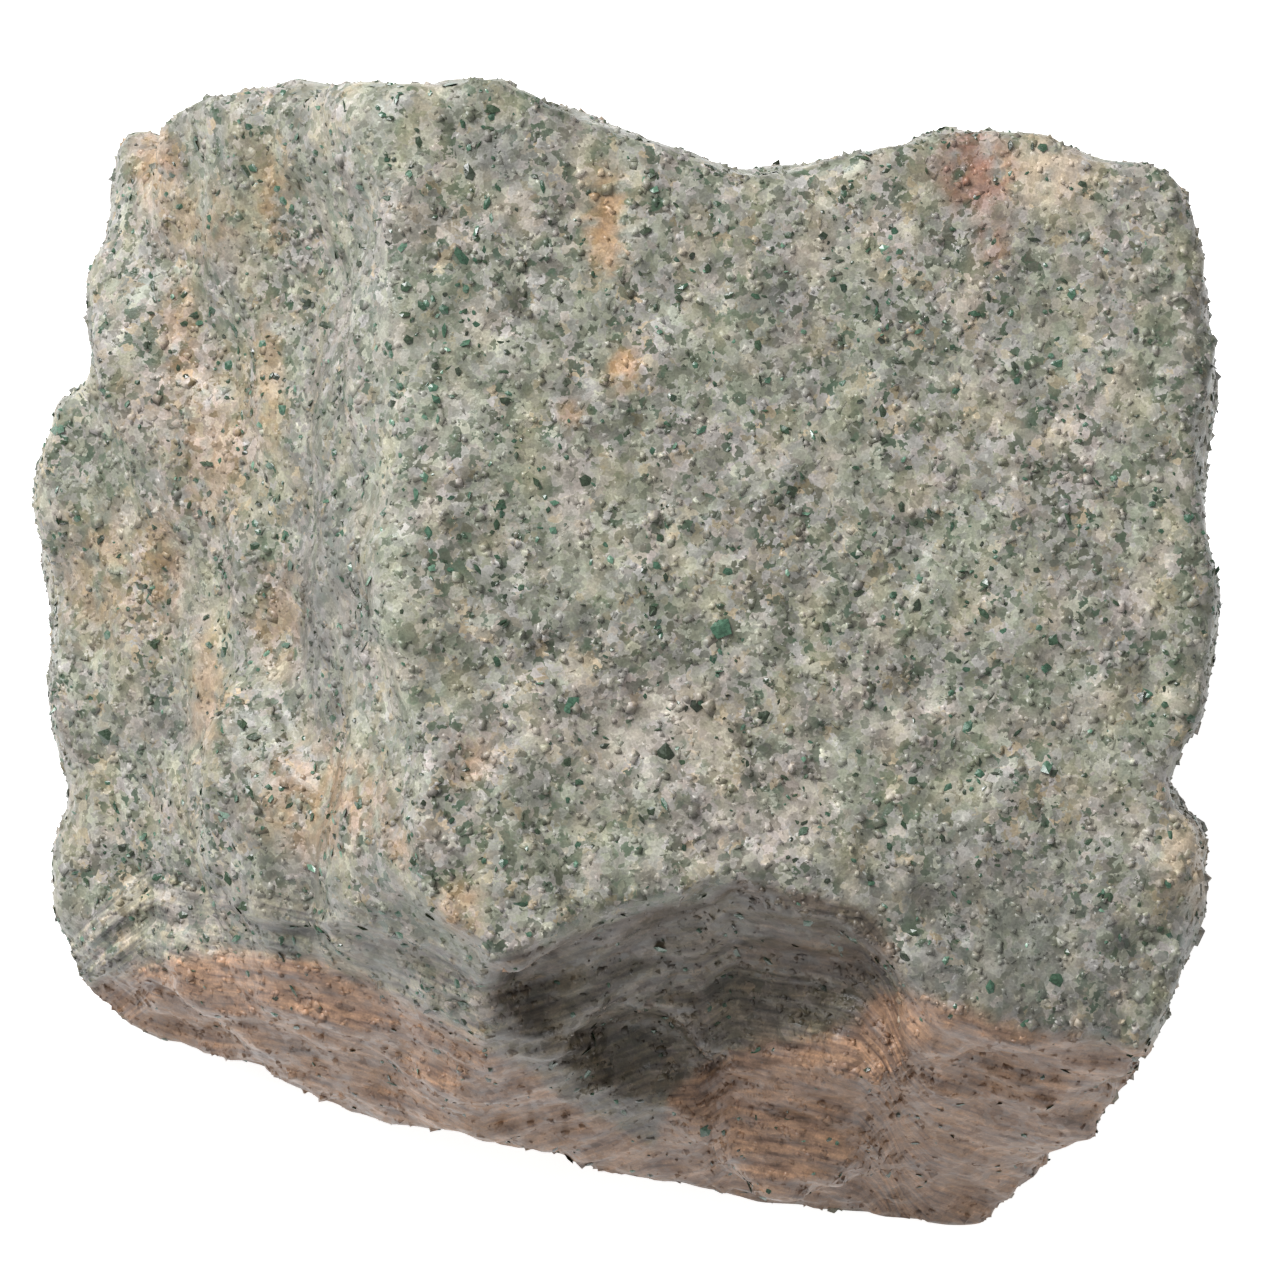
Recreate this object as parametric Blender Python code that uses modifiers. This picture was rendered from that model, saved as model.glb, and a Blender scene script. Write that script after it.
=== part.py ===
"""Rough chunk of green quartzite: one broken stone that lies on its flat underside.

Lengths are in metres and +Z is up. The stone is shaped in a hewing frame: X runs
along the width of its flat main face, Y up the height of that face and Z straight
out of it. Then it is tipped back by MAIN_FACE_TIP, so that it lies on its underside
with the front of the main face lower than the back.
"""

import math
from dataclasses import dataclass

import bmesh
import bpy
from mathutils import Matrix, Vector, noise

MM = 0.001

# Driving dimensions
MAIN_FACE_TIP = math.radians(25)
REST_DEPTH = 33.8 * MM
BLOCK_TOP = 12 * MM
BLOCK_BOTTOM = -62 * MM
GRAIN_OF_FORM = 0.85 * MM
MOST_TRIANGLES = 9400
WELD = 0.001 * MM
SMALLEST_EDGE = 0.02 * MM
CUTTER_SIDE = 150 * MM
EDGE_WEAR = 1.007
STONE_COLOUR = (0.28, 0.285, 0.235, 1)
STONE_ROUGHNESS = 0.72

# Outer edge of the stone, seen square to the main face and clockwise from the top
# left corner, as (x, y) in millimetres
OUTER_EDGE = [
    (-26.3, 25.3),
    (-25.0, 27.1),
    (-23.5, 28.6),
    (-20.4, 28.2),
    (-17.1, 27.7),
    (-12.0, 27.5),
    (-6.5, 28.1),
    (-4.0, 26.6),
    (0.0, 25.0),
    (3.0, 24.2),
    (5.8, 22.8),
    (8.0, 23.4),
    (11.0, 24.6),
    (14.5, 25.9),
    (18.0, 26.5),
    (20.2, 25.9),
    (21.0, 24.7),
    (24.0, 23.9),
    (26.2, 24.0),
    (27.3, 23.0),
    (28.1, 19.0),
    (28.7, 14.5),
    (29.2, 12.8),
    (28.4, 11.5),
    (28.7, 7.0),
    (28.6, 2.0),
    (28.7, -1.3),
    (28.2, -3.8),
    (26.5, -6.8),
    (26.8, -7.9),
    (28.2, -9.0),
    (28.7, -12.0),
    (27.9, -14.6),
    (27.0, -17.6),
    (25.6, -20.2),
    (25.5, -22.1),
    (23.9, -23.1),
    (23.2, -24.8),
    (21.5, -27.0),
    (19.4, -30.0),
    (17.1, -30.7),
    (11.6, -30.7),
    (7.9, -30.1),
    (4.2, -29.3),
    (-2.6, -27.2),
    (-8.5, -25.9),
    (-13.7, -25.0),
    (-21.2, -22.4),
    (-28.2, -21.4),
    (-29.8, -18.9),
    (-30.5, -13.7),
    (-30.8, -11.6),
    (-30.3, -9.3),
    (-30.4, -7.4),
    (-31.2, -5.3),
    (-31.1, -2.6),
    (-31.5, 0.0),
    (-32.2, 4.7),
    (-32.8, 7.9),
    (-31.7, 11.1),
    (-28.6, 14.1),
    (-27.6, 17.8),
    (-27.2, 21.9),
    (-26.9, 24.0),
]


@dataclass(frozen=True)
class Facet:
    """A flat broken face, by three points on it in millimetres."""

    name: str
    first: tuple[float, float, float]
    second: tuple[float, float, float]
    third: tuple[float, float, float]


@dataclass(frozen=True)
class Lens:
    """A rounded form: its middle and half widths in millimetres, and its turn."""

    name: str
    middle: tuple[float, float, float]
    half_widths: tuple[float, float, float]
    turn: tuple[float, float, float] = (0, 0, 0)


@dataclass(frozen=True)
class Relief:
    """An uneven surface: the spacing of its bumps along X, Y and Z, and their height.

    All are in millimetres. The level raises the whole surface, and a folded relief
    goes down to creases on both sides of each bump.
    """

    spacing: tuple[float, float, float]
    height: float
    level: float = 0
    folded: bool = False


INSIDE = Vector((0, 0, -18)) * MM
DOWN_AT_REST = Vector((0, -math.sin(MAIN_FACE_TIP), -math.cos(MAIN_FACE_TIP)))

# Faces of the whole stone
MAIN_FACE = Facet("main face", (8, 12, 0.3), (-13, 17, 2.0), (-8, -15.5, 3.0))
BEVEL = Facet("bevel", (-29.7, -16.4, -22.5), (-11.0, -14.5, 1.0), (-10.1, -18.7, -3.5))
BROWN_FACE = Facet("brown face", (-26.8, -16.5, -20), (-27.4, -21.9, -29), (-8.5, -19.3, -5))
FRONT_FACE = Facet("front face", (-8, -16.3, 2.0), (25.1, -20.6, -1.0), (8.5, -30.2, -23))
BACK_WALL = Facet("back wall", (-20, 29.5, -9), (14, 26.6, -3), (14, 11.5, -40))
BACK_FOOT = Facet("back foot", (0, 16.1, -29.4), (20, 15.2, -28.9), (0, 3.8, -39.1))
RIGHT_WALL = Facet("right wall", (29.3, 0, -14), (29.3, 12, -14), (24.5, 0, -40))
RIGHT_CORNER = Facet("right corner", (24.5, 26, -9), (28.5, 20, -6), (20, 16, -40))
LEFT_CORNER = Facet("left corner", (-31.5, 11, -26), (-23, 25.6, -24), (-22, 4, -48))
LEFT_FOOT = Facet("left foot", (-30.5, 10.7, -29.6), (-30.4, -18.4, -26.6), (-26.6, -9.8, -32.7))
RIGHT_FOOT = Facet("right foot", (29, -3, -18.2), (28.5, 11.4, -22.8), (23.5, -9.8, -32.7))
UNDERSIDE = Facet("underside", (0, 0, -38.3), (20, 0, -38.3), (0, 20, -47.6))

# The left side falls away in two ways: a steep step under the ridge, and a longer
# slope from the foot of that step to the outer edge
LEFT_STEP = Facet("left step", (-13.6, 27, 1.5), (-12.4, -8, 2.6), (-16.4, 8, -5.6))
LEFT_SLOPE = Facet("left slope", (-16.2, 27, -4.2), (-31.6, 5, -20.8), (-30.4, -13, -22.5))

SCARS = [
    Lens("bowl under the main face", (3.4, -20.1, 2.6), (10.9, 7.0, 11.4), (0, 0.12, 0.03)),
    Lens("left end of the bowl", (-4.3, -19.0, 1.2), (3.8, 3.2, 8.0), (0.2, 0, 0.3)),
    Lens("notch of the bowl", (4.6, -14.9, 2.8), (2.6, 3.1, 4.6), (0.2, 0, -0.3)),
    Lens("deep scallop", (0.8, -23.6, -8.0), (5.4, 2.7, 5.2), (0.5, 0, -0.7)),
    Lens("right scallop", (18.4, -24.8, -2.0), (7.0, 3.6, 6.2), (0.35, 0, -0.2)),
    Lens("low right scallop", (20.0, -33.4, -11.0), (7.5, 5.5, 8.0), (0.4, 0, 0.2)),
    Lens("dip of the top edge", (6.2, 27.0, 2.2), (9.5, 3.7, 4.6)),
    Lens("left hollow", (-30, -4.6, -11.3), (8, 9, 8)),
    Lens("left low hollow", (-34.5, -7.4, -19.0), (4.8, 3.2, 9.0)),
    Lens("back left scar", (-12, 34.6, -24), (17, 14, 15), (0.5, 0, 0)),
    Lens("back right scar", (15, 29.2, -22), (12, 12, 12), (0.3, 0.3, 0)),
    Lens("right wall scar", (37.5, 4.0, -22), (10.2, 13, 12)),
    Lens("low left scar", (-36.5, 8.0, -38), (9.5, 11, 9)),
    Lens("low front scar", (-16, -33.0, -30), (12, 9.0, 7.0), (-0.5, 0, 0.2)),
    Lens("back base scar", (14, 5.6, -39.9), (7, 5, 5)),
    Lens("right base scar", (25.5, -18.8, -28.5), (5, 8, 5)),
    Lens("left base scar", (-26, -5.2, -34.8), (5, 8, 5)),
]

LUMPS = [
    Lens("lump behind the dip", (7.6, 21.8, -6.0), (3.6, 2.6, 3.6)),
    Lens("tan lump on the right edge", (26.6, -11.2, -3.2), (2.2, 3.4, 3.4)),
    Lens("orange bulge", (-17.4, -8.6, -13.4), (6.4, 8.4, 6.2)),
    Lens("brown bulge in the hollow", (7.2, -24.3, -16.0), (5.0, 4.6, 6.0), (0.5, 0, 0)),
    Lens("left shoulder", (-25.35, 15.0, -17.4), (4.0, 8.0, 4.0), (0, 0.7, 0)),
]

# Relief of the broken surfaces
REST_OF_STONE = [
    Relief((9, 9, 9), 0.75),
    Relief((4.2, 4.2, 4.2), 0.42),
    Relief((2.6, 2.6, 2.6), 0.36, folded=True),
]
LEFT_RELIEFS = [
    Relief((2.3, 7.0, 2.6), 0.9),
    Relief((5.5, 11.0, 5.5), 1.3, level=-0.3),
]
BACK_RELIEFS = [
    Relief((8.5, 8.5, 8.5), 2.2, level=0.38, folded=True),
    Relief((3.2, 3.2, 6.0), 0.9),
]
CHIPS = Relief((3.4, 2.6, 3.0), 0.7, level=-0.1)
MAIN_CALM = 0.7

# Where each relief fades in: by the way that a surface faces, or by its place
MAIN_FACING = (0.75, 0.92)
SIDE_FACING = (0.22, 0.6)
UNDERSIDE_FACING = (0.8, 0.95)
CHIPPED_HALF = (4, -4)
BELOW_EDGE = (-1, -9)


def clear_scene() -> None:
    """Remove every object, so that only the stone is left in the scene."""
    for thing in list(bpy.data.objects):
        bpy.data.objects.remove(thing, do_unlink=True)


def add_collection(name: str) -> bpy.types.Collection:
    """Make a collection and link it to the scene."""
    made = bpy.data.collections.new(name)
    bpy.context.scene.collection.children.link(made)
    return made


def outline_block(home: bpy.types.Collection) -> bpy.types.Object:
    """Extrude the outer edge into the block that the stone is hewn from."""
    curve = bpy.data.curves.new("outer_edge", "CURVE")
    curve.dimensions = "2D"
    curve.fill_mode = "BOTH"
    curve.extrude = (BLOCK_TOP - BLOCK_BOTTOM) / 2
    spline = curve.splines.new("POLY")
    spline.points.add(len(OUTER_EDGE) - 1)
    for point, (x, y) in zip(spline.points, OUTER_EDGE):
        point.co = (x * MM * EDGE_WEAR, y * MM * EDGE_WEAR, 0, 1)
    spline.use_cyclic_u = True
    edge = bpy.data.objects.new("outer_edge", curve)
    home.objects.link(edge)
    edge.location.z = (BLOCK_TOP + BLOCK_BOTTOM) / 2
    bpy.context.view_layer.update()
    graph = bpy.context.evaluated_depsgraph_get()
    mesh = bpy.data.meshes.new_from_object(edge.evaluated_get(graph))
    mesh.transform(edge.matrix_world)
    bpy.data.objects.remove(edge, do_unlink=True)
    form = bmesh.new()
    form.from_mesh(mesh)
    bmesh.ops.remove_doubles(form, verts=form.verts, dist=WELD)
    bmesh.ops.recalc_face_normals(form, faces=form.faces)
    form.to_mesh(mesh)
    form.free()
    block = bpy.data.objects.new("block", mesh)
    home.objects.link(block)
    return block


def hew(stone: bpy.types.Object, facet: Facet, keep_inside: bool = True) -> None:
    """Break a form along a facet, and close the broken face.

    Args:
        stone: the form to break.
        facet: the flat face to break it along.
        keep_inside: whether the side with the stone's heart stays, or the other.
    """
    first, second, third = (Vector(p) * MM for p in (facet.first, facet.second, facet.third))
    outward = (second - first).cross(third - first).normalized()
    if (outward.dot(INSIDE - first) > 0) == keep_inside:
        outward.negate()
    form = bmesh.new()
    form.from_mesh(stone.data)
    everything = form.verts[:] + form.edges[:] + form.faces[:]
    bmesh.ops.bisect_plane(
        form, geom=everything, dist=WELD, plane_co=first, plane_no=outward, clear_outer=True
    )
    rim = [edge for edge in form.edges if edge.is_boundary]
    bmesh.ops.holes_fill(form, edges=rim, sides=0)
    bmesh.ops.recalc_face_normals(form, faces=form.faces)
    form.to_mesh(stone.data)
    form.free()


def add_cutter(name: str, form: bmesh.types.BMesh, home: bpy.types.Collection) -> bpy.types.Object:
    """Turn a form into a hidden wire object, and free the form."""
    mesh = bpy.data.meshes.new(name)
    form.to_mesh(mesh)
    form.free()
    made = bpy.data.objects.new(name, mesh)
    made.display_type = "WIRE"
    made.hide_render = True
    home.objects.link(made)
    return made


def rounded_form(lens: Lens, home: bpy.types.Collection) -> bpy.types.Object:
    """Make the ellipsoid of a scar or a lump."""
    form = bmesh.new()
    bmesh.ops.create_icosphere(form, subdivisions=4, radius=1)
    made = add_cutter(lens.name.replace(" ", "_"), form, home)
    made.location = Vector(lens.middle) * MM
    made.rotation_euler = lens.turn
    made.scale = Vector(lens.half_widths) * MM
    return made


def table_side(home: bpy.types.Collection) -> bpy.types.Object:
    """Make the block whose top is the level that the stone rests on."""
    form = bmesh.new()
    bmesh.ops.create_cube(form, size=CUTTER_SIDE)
    made = add_cutter("table_side", form, home)
    made.location.z = -CUTTER_SIDE / 2
    return made


def left_wedge(home: bpy.types.Collection) -> bpy.types.Object:
    """Make the wedge that broke away from the left side, above its step and slope."""
    form = bmesh.new()
    bmesh.ops.create_cube(form, size=CUTTER_SIDE)
    made = add_cutter("left_wedge", form, home)
    for facet in (LEFT_STEP, LEFT_SLOPE):
        hew(made, facet, keep_inside=False)
    return made


def apply_modifiers(stone: bpy.types.Object) -> None:
    """Turn the stone's modifiers into its mesh."""
    bpy.context.view_layer.update()
    graph = bpy.context.evaluated_depsgraph_get()
    old = stone.data
    stone.data = bpy.data.meshes.new_from_object(stone.evaluated_get(graph))
    stone.modifiers.clear()
    bpy.data.meshes.remove(old)


def combine(stone: bpy.types.Object, other: bpy.types.Object, operation: str) -> None:
    """Join another form to the stone, or cut it out."""
    step = stone.modifiers.new(other.name, "BOOLEAN")
    step.operation = operation
    step.solver = "EXACT"
    step.object = other
    apply_modifiers(stone)


def share_between(span: tuple[float, float], value: float) -> float:
    """Rise smoothly from 0 at the span's first value to 1 at its second."""
    low, high = span
    share = min(max((value - low) / (high - low), 0), 1)
    return share * share * (3 - 2 * share)


def height_of(relief: Relief, place: Vector) -> float:
    """Height of one relief at a place, both in millimetres."""
    across, up, out = relief.spacing
    bump = noise.noise(Vector((place.x / across, place.y / up, place.z / out)))
    if relief.folded:
        bump = -abs(bump)
    return relief.level + bump * relief.height


def weathering(place: Vector, facing: Vector) -> float:
    """Height of the uneven surface at a place.

    Args:
        place: the point, in millimetres in the hewing frame.
        facing: the surface normal there.

    Returns:
        How far the surface stands out, in millimetres.
    """
    on_main = share_between(MAIN_FACING, facing.z)
    on_left = share_between(SIDE_FACING, -facing.x) * (1 - on_main)
    hidden = max(facing.x, facing.y, -facing.z)
    on_back = share_between(SIDE_FACING, hidden) * share_between(BELOW_EDGE, place.z)
    on_chips = share_between(CHIPPED_HALF, place.y) * on_main
    on_underside = share_between(UNDERSIDE_FACING, facing.dot(DOWN_AT_REST))
    everywhere = sum(height_of(relief, place) for relief in REST_OF_STONE)
    left = sum(height_of(relief, place) for relief in LEFT_RELIEFS)
    back = sum(height_of(relief, place) for relief in BACK_RELIEFS)
    rough = everywhere * (1 - MAIN_CALM * on_main) + left * on_left + back * on_back
    return (rough + height_of(CHIPS, place) * on_chips) * (1 - on_underside)


def weather(stone: bpy.types.Object) -> None:
    """Move the stone's surface in and out to its lumps, ledges and pits."""
    form = bmesh.new()
    form.from_mesh(stone.data)
    form.normal_update()
    moved = [v.co + v.normal * weathering(v.co / MM, v.normal) * MM for v in form.verts]
    for vert, place in zip(form.verts, moved):
        vert.co = place
    form.to_mesh(stone.data)
    form.free()


def even_out(stone: bpy.types.Object, wear: int) -> None:
    """Give the stone an even skin, and wear its edges that many times."""
    skin = stone.modifiers.new("skin", "REMESH")
    skin.mode = "VOXEL"
    skin.voxel_size = GRAIN_OF_FORM
    worn = stone.modifiers.new("worn edges", "SMOOTH")
    worn.factor = 0.5
    worn.iterations = wear
    apply_modifiers(stone)


def thin_out(stone: bpy.types.Object) -> None:
    """Reduce the skin to as few triangles as its forms need."""
    stone.data.calc_loop_triangles()
    fewer = stone.modifiers.new("fewer", "DECIMATE")
    fewer.ratio = MOST_TRIANGLES / len(stone.data.loop_triangles)
    fewer.use_collapse_triangulate = True
    apply_modifiers(stone)


def clean_triangles(stone: bpy.types.Object) -> None:
    """Close up needle-thin triangles and make every face a triangle."""
    form = bmesh.new()
    form.from_mesh(stone.data)
    bmesh.ops.dissolve_degenerate(form, edges=form.edges, dist=SMALLEST_EDGE)
    bmesh.ops.triangulate(form, faces=form.faces)
    bmesh.ops.recalc_face_normals(form, faces=form.faces)
    form.to_mesh(stone.data)
    form.free()


def lay_down(stone: bpy.types.Object, cutters: bpy.types.Collection) -> None:
    """Tip the stone to its resting place and cut its flat underside."""
    stone.data.transform(Matrix.Rotation(MAIN_FACE_TIP, 4, "X"))
    stone.data.transform(Matrix.Translation((0, 0, REST_DEPTH)))
    combine(stone, table_side(cutters), "DIFFERENCE")
    clean_triangles(stone)
    xs = [v.co.x for v in stone.data.vertices]
    ys = [v.co.y for v in stone.data.vertices]
    middle = Vector(((min(xs) + max(xs)) / 2, (min(ys) + max(ys)) / 2, 0))
    stone.data.transform(Matrix.Translation(-middle))


def stone_material() -> bpy.types.Material:
    """Make the grey-green of the quartzite."""
    made = bpy.data.materials.new("green_quartzite")
    made.use_nodes = True
    shader = made.node_tree.nodes["Principled BSDF"]
    shader.inputs["Base Color"].default_value = STONE_COLOUR
    shader.inputs["Roughness"].default_value = STONE_ROUGHNESS
    shader.inputs["Metallic"].default_value = 0
    made.diffuse_color = STONE_COLOUR
    return made


def build_rock() -> bpy.types.Object:
    """Hew, weather and lay down the stone.

    Returns:
        The finished stone, one closed mesh.
    """
    home = add_collection("rough_rock")
    cutters = add_collection("cutters")
    cutters.hide_render = True
    rock = outline_block(home)
    for facet in (MAIN_FACE, BEVEL, BROWN_FACE, FRONT_FACE):
        hew(rock, facet)
    for facet in (BACK_WALL, RIGHT_WALL, RIGHT_CORNER, LEFT_CORNER):
        hew(rock, facet)
    for facet in (BACK_FOOT, LEFT_FOOT, RIGHT_FOOT, UNDERSIDE):
        hew(rock, facet)
    combine(rock, left_wedge(cutters), "DIFFERENCE")
    for lens in LUMPS:
        combine(rock, rounded_form(lens, cutters), "UNION")
    for lens in SCARS:
        combine(rock, rounded_form(lens, cutters), "DIFFERENCE")
    even_out(rock, wear=2)
    weather(rock)
    even_out(rock, wear=0)
    thin_out(rock)
    lay_down(rock, cutters)
    rock.name = "rock"
    rock.data.name = "rock"
    rock.data.materials.clear()
    rock.data.materials.append(stone_material())
    return rock


clear_scene()
build_rock()
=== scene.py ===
"""Looks of the rough chunk of green quartzite: its skin, its crust of grains and its flakes.

The stone is described in the picture frame: X runs along the width of the flat main
face, Y up its height and Z out of it, in millimetres, with the origin where the
camera looks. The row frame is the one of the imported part: metres, +Z up.
"""

import logging
import math
from dataclasses import dataclass, field
from enum import Enum
from typing import Iterable, Sequence

import bpy
import numpy as np
from mathutils import Matrix, Vector, noise


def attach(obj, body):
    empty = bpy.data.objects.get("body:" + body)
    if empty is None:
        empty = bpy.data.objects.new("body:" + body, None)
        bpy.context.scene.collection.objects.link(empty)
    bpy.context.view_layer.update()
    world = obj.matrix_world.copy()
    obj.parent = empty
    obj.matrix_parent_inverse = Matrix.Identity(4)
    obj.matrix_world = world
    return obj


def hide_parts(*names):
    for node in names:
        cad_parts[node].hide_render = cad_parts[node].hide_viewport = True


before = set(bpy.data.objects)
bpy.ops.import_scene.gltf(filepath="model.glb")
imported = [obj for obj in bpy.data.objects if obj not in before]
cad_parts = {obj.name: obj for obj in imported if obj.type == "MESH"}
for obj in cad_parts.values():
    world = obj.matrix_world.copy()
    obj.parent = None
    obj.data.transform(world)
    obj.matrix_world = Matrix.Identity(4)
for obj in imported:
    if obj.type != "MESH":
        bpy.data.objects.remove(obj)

log = logging.getLogger("rough_rock")

MM = 0.001
NODE = "rock"
BODY = "root"
SEED = 20

Colour = tuple[float, float, float]
Triple = tuple[float, float, float]
Stops = Sequence[tuple[float, Colour]]
Socket = bpy.types.NodeSocket

# The picture frame in the row frame
MAIN_FACE_TIP = math.radians(25)
PICTURE_ORIGIN = Vector((1.17, -5.59, 33.8))
CAMERA_DISTANCE = 400.0
PICTURE_WIDTH = 64.0
SENSOR_WIDTH = 36.0

# Where the lights point, inside the stone
LIT_PLACE = Vector((0, 0, -15))

# Length, thickness and width of the streaks of the thin layers, in millimetres
STREAK = (2.4, 0.34, 2.0)


def picture_to_row() -> Matrix:
    """Matrix from the picture frame in millimetres to the row frame in metres."""
    turn = Matrix.Rotation(MAIN_FACE_TIP, 4, "X")
    return Matrix.Scale(MM, 4) @ Matrix.Translation(PICTURE_ORIGIN) @ turn


def transformed(points: np.ndarray, matrix: Matrix) -> np.ndarray:
    """Points moved by a matrix, one row each."""
    values = np.array(matrix)
    return points @ values[:3, :3].T + values[:3, 3]


def smooth_step(values: np.ndarray, low: float, high: float) -> np.ndarray:
    """Rise smoothly from 0 where a value is low to 1 where it is high."""
    share = np.clip((values - low) / (high - low), 0, 1)
    return share * share * (3 - 2 * share)


@dataclass(frozen=True)
class Waves:
    """The smooth noise of one feature, with its bumps equally far apart or spaced along each axis.

    The shift moves the noise, so that the features differ.
    """

    spacing: Triple | float
    shift: float = 0
    height: float = 1.0

    def at(self, points: np.ndarray) -> np.ndarray:
        """The noise at each place, from about minus to plus its height."""
        scaled = points / np.array(self.spacing) + self.shift
        return self.height * np.fromiter((noise.noise(Vector(p)) for p in scaled), float, len(points))


@dataclass(frozen=True)
class Line:
    """A line across the picture, by its points from left to right in picture millimetres."""

    points: tuple[tuple[float, float], ...]

    def depth_below(self, seen: np.ndarray) -> np.ndarray:
        """How far below the line each place is seen, in millimetres."""
        across, up = np.array(self.points).T
        return np.interp(seen[:, 0], across, up) - seen[:, 1]


# Lower edge of the pale faces: over the bevel, round the prow and along the lip of the
# hollow, then over the brown face on the right
LIP = Line((
    (-30.0, -16.0), (-27.0, -13.0), (-24.5, -11.1), (-22.0, -12.0), (-19.5, -12.3), (-17.0, -12.8),
    (-14.5, -13.4), (-12.0, -14.1), (-10.0, -15.0), (-8.0, -16.0), (-5.0, -15.2), (-1.8, -14.2),
    (0.6, -13.2), (3.0, -13.0), (4.6, -11.9), (6.2, -12.2), (8.6, -12.6), (11.0, -13.2),
    (12.2, -14.5), (13.2, -16.7), (14.5, -18.0), (17.4, -19.0), (21.0, -19.8), (25.0, -20.2),
    (30.0, -20.8),
))

# Upper edge of the brown faces
BROWN_EDGE = Line((
    (-30.0, -17.5), (-27.2, -17.2), (-25.2, -16.2), (-22.0, -15.5), (-19.0, -15.4), (-16.0, -16.0),
    (-13.0, -17.2), (-10.5, -18.7), (-8.0, -20.0), (-5.5, -21.2), (-3.5, -23.0), (-1.0, -24.2),
    (0.7, -25.0), (1.6, -22.2), (3.0, -21.0), (6.0, -20.0), (9.0, -19.7), (11.1, -18.5),
    (12.0, -17.2), (15.5, -18.0), (18.0, -19.0), (21.0, -19.7), (25.0, -20.2), (30.0, -20.8),
))


class Tint(Enum):
    """The colours that lie in patches on the stone, and the painted shade of the hollow, by the attribute
    that holds each.
    """

    ORANGE = "orange"
    RED = "red"
    TAN = "tan"
    PALE = "pale"
    MOSS = "moss"
    HONEY = "honey"
    ROSE = "rose"
    SMOKE = "smoke"
    BROWN = "brown"
    # Painted shade: near black-brown laid in the hollow, darkest just under the lip, where shade falls
    HOLLOW_SHADE = "hollow_shade"


@dataclass(frozen=True)
class Stain:
    """A patch of one tint on the side that the camera sees, in picture millimetres."""

    tint: Tint
    middle: tuple[float, float]
    half_widths: tuple[float, float]
    strength: float = 1.0
    turn: float = 0.0
    gaps: tuple[float, float] = (-0.55, 0.1)
    rim: tuple[float, float] = (1.25, 0.45)
    rim_noise: float = 0.6

    def weight(self, seen: np.ndarray, ragged: np.ndarray) -> np.ndarray:
        """How much of the tint each place has.

        Args:
            seen: where the camera sees each place, in picture millimetres.
            ragged: noise that breaks up the patch's edge.

        Returns:
            A weight from 0 to 1 for each place.
        """
        along = seen - np.array(self.middle)
        cos, sin = math.cos(self.turn), math.sin(self.turn)
        across = along @ np.array([[cos, -sin], [sin, cos]])
        distance = np.hypot(across[:, 0] / self.half_widths[0], across[:, 1] / self.half_widths[1])
        broken = smooth_step(ragged, *self.gaps)
        return self.strength * broken * smooth_step(distance + self.rim_noise * ragged, *self.rim)


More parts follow.
